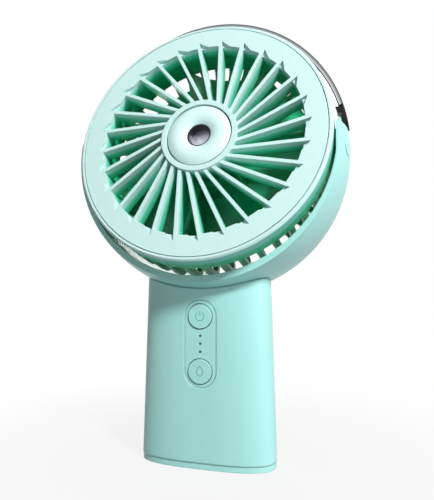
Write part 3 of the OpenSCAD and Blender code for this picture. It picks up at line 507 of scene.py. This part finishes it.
def start_mark(name, middle, radius, fill):
    """A flat upright ring of points on the face of a button, in edit mode."""
    bpy.ops.object.select_all(action="DESELECT")
    bpy.ops.mesh.primitive_circle_add(vertices=72, radius=radius, fill_type=fill, location=middle,
                                      rotation=upright_turn)
    item = bpy.context.active_object
    item.name = name
    bpy.ops.object.transform_apply(location=True, rotation=True, scale=True)
    bpy.ops.object.mode_set(mode="EDIT")
    bpy.ops.mesh.select_all(action="SELECT")
    return item


def print_on(item, body, finish):
    """Give a flat mark its thin body, its finish and its button."""
    bpy.ops.object.mode_set(mode="OBJECT")
    film = item.modifiers.new("film", "SOLIDIFY")
    film.thickness = film_thickness
    film.offset = 0.0
    bpy.ops.object.modifier_apply(modifier=film.name)
    bpy.ops.object.mode_set(mode="EDIT")
    bpy.ops.mesh.select_all(action="SELECT")
    bpy.ops.mesh.remove_doubles(threshold=0.000001)
    bpy.ops.mesh.normals_make_consistent(inside=False)
    bpy.ops.object.mode_set(mode="OBJECT")
    item.data.materials.append(finish)
    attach(item, body)
    print(item.name, "faces:", len(item.data.polygons))


ink = soft_matt("printed_green", linear(92, 172, 163), linear(112, 188, 180), 0.5, 1600.0, 0.00001)
print("ink:", ink.name)

# %% Ring and bar on the power button
middle = face_of("power_button")
ring_radius, ring_inside = 0.0019, 0.81
half_opening = math.radians(34)
bar_width, bar_stretch = 0.00036, 5
power_mark = start_mark("power_mark", middle, ring_radius, "NOTHING")
bpy.ops.mesh.extrude_edges_move()
bpy.ops.transform.resize(value=(ring_inside, 1, ring_inside), center_override=middle)
pick(power_mark, "polygons", lambda c: abs(math.atan2(c.x - middle.x, c.z - middle.z)) < half_opening)
bpy.ops.mesh.delete(type="FACE")
bar_middle = middle + Vector((0, 0, 0.0013))
bpy.ops.mesh.primitive_plane_add(size=bar_width, location=bar_middle, rotation=upright_turn)
bpy.ops.transform.resize(value=(1, 1, bar_stretch), center_override=bar_middle)
print_on(power_mark, "power_button", ink)

# %% Drop on the mist button
middle = face_of("mist_button") - Vector((0, 0, 0.0004))
drop_radius, drop_tip, line_width = 0.0014, 0.0014, 0.00032
drop_mark = start_mark("drop_mark", middle, drop_radius, "NGON")
pick(drop_mark, "vertices", lambda c: c.z > middle.z + 0.99 * drop_radius)
bpy.ops.transform.translate(value=(0, 0, drop_tip), use_proportional_edit=True,
                            proportional_edit_falloff="SHARP", proportional_size=0.0022)
bpy.ops.mesh.select_all(action="SELECT")
bpy.ops.mesh.inset(thickness=line_width)
bpy.ops.mesh.delete(type="FACE")
print_on(drop_mark, "mist_button", ink)

# %% [markdown]
# ## Screws and plug
# The screws under the base and round the tank show their heads, and so does the plug of the tank. The solids of all
# three are plain steps, so they are modelled again with what a driver and two fingers need: a cross recess in each
# screw, and a bar between two hollows on the plug. All start as the same form, a shank with a wider head whose edge
# is rounded. Bump could only darken a recess, so a cutter takes it out of the head. The copies go where the solids
# are and stand for them, each screw turned a little differently, as screws end up.

# %% Model a shank with a head
def headed(head_radius, head_height, shank_radius, length):
    """A turned form along Z: the outer face of its head at the origin and looking up, its tip below."""
    bpy.ops.object.select_all(action="DESELECT")
    bpy.ops.mesh.primitive_circle_add(vertices=48, radius=shank_radius, fill_type="NGON",
                                      location=(0, 0, -length))
    item = bpy.context.active_object
    bpy.ops.object.transform_apply(location=True, rotation=True, scale=True)
    bpy.ops.object.mode_set(mode="EDIT")
    bpy.ops.mesh.select_all(action="SELECT")
    bpy.ops.mesh.extrude_region_move(TRANSFORM_OT_translate={"value": (0, 0, length - head_height)})
    bpy.ops.mesh.extrude_region_move()
    wider = head_radius / shank_radius
    bpy.ops.transform.resize(value=(wider, wider, 1), center_override=(0, 0, -head_height))
    bpy.ops.mesh.extrude_region_move(TRANSFORM_OT_translate={"value": (0, 0, head_height)})
    bpy.ops.mesh.bevel(offset=head_height * 0.35, segments=4, profile=0.5)
    bpy.ops.mesh.select_all(action="SELECT")
    bpy.ops.mesh.normals_make_consistent(inside=False)
    bpy.ops.object.mode_set(mode="OBJECT")
    return item


def take_out(item, cutter):
    """Cut one mesh, still in edit mode, out of another, and drop the cutter."""
    bpy.ops.mesh.select_all(action="SELECT")
    bpy.ops.mesh.normals_make_consistent(inside=False)
    bpy.ops.object.mode_set(mode="OBJECT")
    recess = item.modifiers.new("recess", "BOOLEAN")
    recess.operation = "DIFFERENCE"
    recess.solver = "EXACT"
    recess.object = cutter
    bpy.context.view_layer.objects.active = item
    bpy.ops.object.modifier_apply(modifier=recess.name)
    bpy.data.objects.remove(cutter)


def cut_cross(screw, reach, depth):
    """Take a cross with four tapering arms out of a head: reach is from the middle to the end of an arm."""
    half = reach * 0.28
    taper = 0.45
    bpy.ops.object.select_all(action="DESELECT")
    bpy.ops.mesh.primitive_cube_add(size=2 * half, location=(0, 0, 0))
    cutter = bpy.context.active_object
    bpy.ops.object.mode_set(mode="EDIT")
    bpy.ops.mesh.select_all(action="SELECT")
    bpy.ops.transform.resize(value=(1, 1, depth / half), center_override=(0, 0, 0))
    pick(cutter, "polygons", lambda c: abs(c.z) < depth / 2)
    bpy.ops.mesh.extrude_faces_move(TRANSFORM_OT_shrink_fatten={"value": reach - half})
    pick(cutter, "vertices", lambda c: c.z < 0)
    bpy.ops.transform.resize(value=(taper, taper, 1), center_override=(0, 0, -depth))
    take_out(screw, cutter)


def cut_grip(plug, radius, depth, half_bar):
    """Sink a head on both sides of a bar along Y."""
    for side in (-1, 1):
        bpy.ops.object.select_all(action="DESELECT")
        bpy.ops.mesh.primitive_circle_add(vertices=64, radius=radius, fill_type="NGON", location=(0, 0, 0))
        cutter = bpy.context.active_object
        bpy.ops.object.mode_set(mode="EDIT")
        bpy.ops.mesh.select_all(action="SELECT")
        bpy.ops.mesh.bisect(plane_co=(side * half_bar, 0, 0), plane_no=(side, 0, 0), clear_inner=True)
        bpy.ops.mesh.select_all(action="SELECT")
        bpy.ops.transform.translate(value=(0, 0, -depth))
        bpy.ops.mesh.extrude_region_move(TRANSFORM_OT_translate={"value": (0, 0, 2 * depth)})
        take_out(plug, cutter)


def set_copies(name, item, node, body, finish, outward, places):
    """Copies of a headed form at some places, joined to one piece that stands for a solid."""
    upright = outward.to_track_quat("Z", "Y").to_matrix().to_4x4()
    first_turn, next_turn = 0.4, 1.1
    copies = []
    for count, place in enumerate(places):
        bpy.ops.object.select_all(action="DESELECT")
        item.select_set(True)
        bpy.context.view_layer.objects.active = item
        bpy.ops.object.duplicate()
        copy = bpy.context.active_object
        turn = Matrix.Rotation(first_turn + next_turn * count, 4, "Z")
        copy.matrix_world = Matrix.Translation(place) @ upright @ turn
        bpy.ops.object.transform_apply(location=True, rotation=True, scale=True)
        copies.append(copy)
    bpy.data.objects.remove(item)
    for copy in copies:
        copy.select_set(True)
    bpy.ops.object.join()
    piece = bpy.context.active_object
    piece.name = name
    bpy.ops.object.shade_smooth_by_angle(angle=math.radians(35))
    piece.data.materials.append(finish)
    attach(piece, body)
    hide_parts(node)
    print(name, "faces:", len(piece.data.polygons))


# %% Two screws under the base
low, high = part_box("base_screws")
base_screw_x = 0.018
base_screw = headed(head_radius=0.0022, head_height=0.0014, shank_radius=0.0011, length=high.z - low.z)
cut_cross(base_screw, reach=0.0013, depth=0.0008)
set_copies("base_screws_cut", base_screw, "base_screws", "handle", steel, Vector((0, 0, -1)),
           [Vector((side * base_screw_x, 0, low.z)) for side in (-1, 1)])

# %% Four screws round the tank
def reach_along_axis(node):
    """Lowest and highest place of a solid along the fan axis, from the tilt axis."""
    levels = [(corner.co - head_centre).dot(fan_axis) for corner in nodes[node].data.vertices]
    return min(levels), max(levels)


head_up = Vector((0, fan_axis.z, -fan_axis.y))
back, tip = reach_along_axis("tank_screws")
tank_screw = headed(head_radius=0.0017, head_height=0.0012, shank_radius=0.0009, length=tip - back)
cut_cross(tank_screw, reach=0.001, depth=0.0007)
screw_circle = 0.02735
diagonal = screw_circle * math.sqrt(0.5)
set_copies("tank_screws_cut", tank_screw, "tank_screws", "head", steel, -fan_axis,
           [head_centre + fan_axis * back + diagonal * (Vector((right, 0, 0)) + up * head_up)
            for right in (-1, 1) for up in (-1, 1)])

# %% Rubber plug with a grip
back, tip = reach_along_axis("fill_plug")
above_middle = 0.012
plug = headed(head_radius=0.006, head_height=0.00158, shank_radius=0.00395, length=tip - back)
cut_grip(plug, radius=0.0046, depth=0.0009, half_bar=0.0008)
set_copies("fill_plug_grip", plug, "fill_plug", "fill_plug", rubber, -fan_axis,
           [head_centre + fan_axis * back + above_middle * head_up])

# %% [markdown]
# ## Floor, world and lamps
# The photo has a plain white ground. The floor is a large pale sheet that keeps the shadow near the handle and
# fades to pure white further out, so it has no visible end. The world is a soft even light that looks white to the
# camera, to reflections and through clear plastic. The key lamp stands high on the right, and it is small, so the
# head throws a clear shadow on the yoke and slantwise across the top of the handle. A weak lamp further right
# brightens that edge of the handle, which falls into shade towards the left. A wide lamp behind lights the back for
# the other views.

# %% Floor and white surround
def white_rays(tree):
    """1 for the rays that should find white: from the camera, from mirrors and through clear plastic."""
    seen, mirrored, through = (Wire.add(tree, "ShaderNodeLightPath", output=kind)
                               for kind in ("Is Camera Ray", "Is Glossy Ray", "Is Transmission Ray"))
    return seen + mirrored + through


bpy.ops.object.select_all(action="DESELECT")
bpy.ops.mesh.primitive_grid_add(x_subdivisions=8, y_subdivisions=8, size=6.0, location=(0, 0, 0))
floor = bpy.context.active_object
floor.name = "floor"
floor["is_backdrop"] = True
ground, tree, shader, place = new_finish("pale_floor", Specular_IOR_Level=0.1)
dust = noise(place, 12.0, 3.0)
connect(tree, shader, Base_Color=mix_colour(dust, linear(158, 160, 160), linear(168, 169, 169)),
        Roughness=dust * 0.1 + 0.8)
away = Wire.add(tree, "ShaderNodeVectorMath", {"operation": "LENGTH"}, {0: place}, 1)
far = Wire.add(tree, "ShaderNodeMapRange", {"interpolation_type": "SMOOTHSTEP"},
               {"Value": away, "From Min": 0.03, "From Max": 0.18, "To Min": 0.86, "To Max": 1.0})
glow = Wire.add(tree, "ShaderNodeEmission", inputs={"Color": (1, 1, 1, 1), "Strength": 1.0})
lit = Wire(tree, shader.outputs[0])
both = Wire.add(tree, "ShaderNodeMixShader", inputs={0: white_rays(tree) * far, 1: lit, 2: glow})
tree.links.new(both.socket, tree.nodes["Material Output"].inputs["Surface"])
floor.data.materials.append(ground)

world = bpy.data.worlds.new("white_studio")
bpy.context.scene.world = world
world.use_nodes = True
tree = world.node_tree
ambient = 0.07
strength = white_rays(tree) * (1.0 - ambient) + ambient
tree.links.new(strength.socket, tree.nodes["Background"].inputs["Strength"])
tree.nodes["Background"].inputs["Color"].default_value = (1, 1, 1, 1)
print("floor and world ready")

# %% Lamps
def lamp(name, place, aim, size, power):
    """A square soft lamp at a place, turned to look at a point."""
    data = bpy.data.lights.new(name, "AREA")
    data.shape = "SQUARE"
    data.size = size
    data.energy = power
    item = bpy.data.objects.new(name, data)
    item.location = place
    item.rotation_mode = "QUATERNION"
    item.rotation_quaternion = (Vector(aim) - Vector(place)).to_track_quat("-Z", "Y")
    bpy.context.scene.collection.objects.link(item)
    return item


lamps = [lamp("key_lamp", (0.56, -0.5, 0.68), (0, 0, 0.09), 0.14, 12.0),
         lamp("side_lamp", (0.78, -0.3, 0.26), (0, 0, 0.06), 0.3, 1.2),
         lamp("back_lamp", (-0.28, 0.78, 0.4), (0, 0, 0.1), 0.5, 4.2)]
print("lamps:", [item.name for item in lamps])

# %% [markdown]
# ## Sizes
# The box of the dressed model is printed.

# %% Sizes and finish
low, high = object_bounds()
print("visual box:", [round(v, 4) for v in high - low])
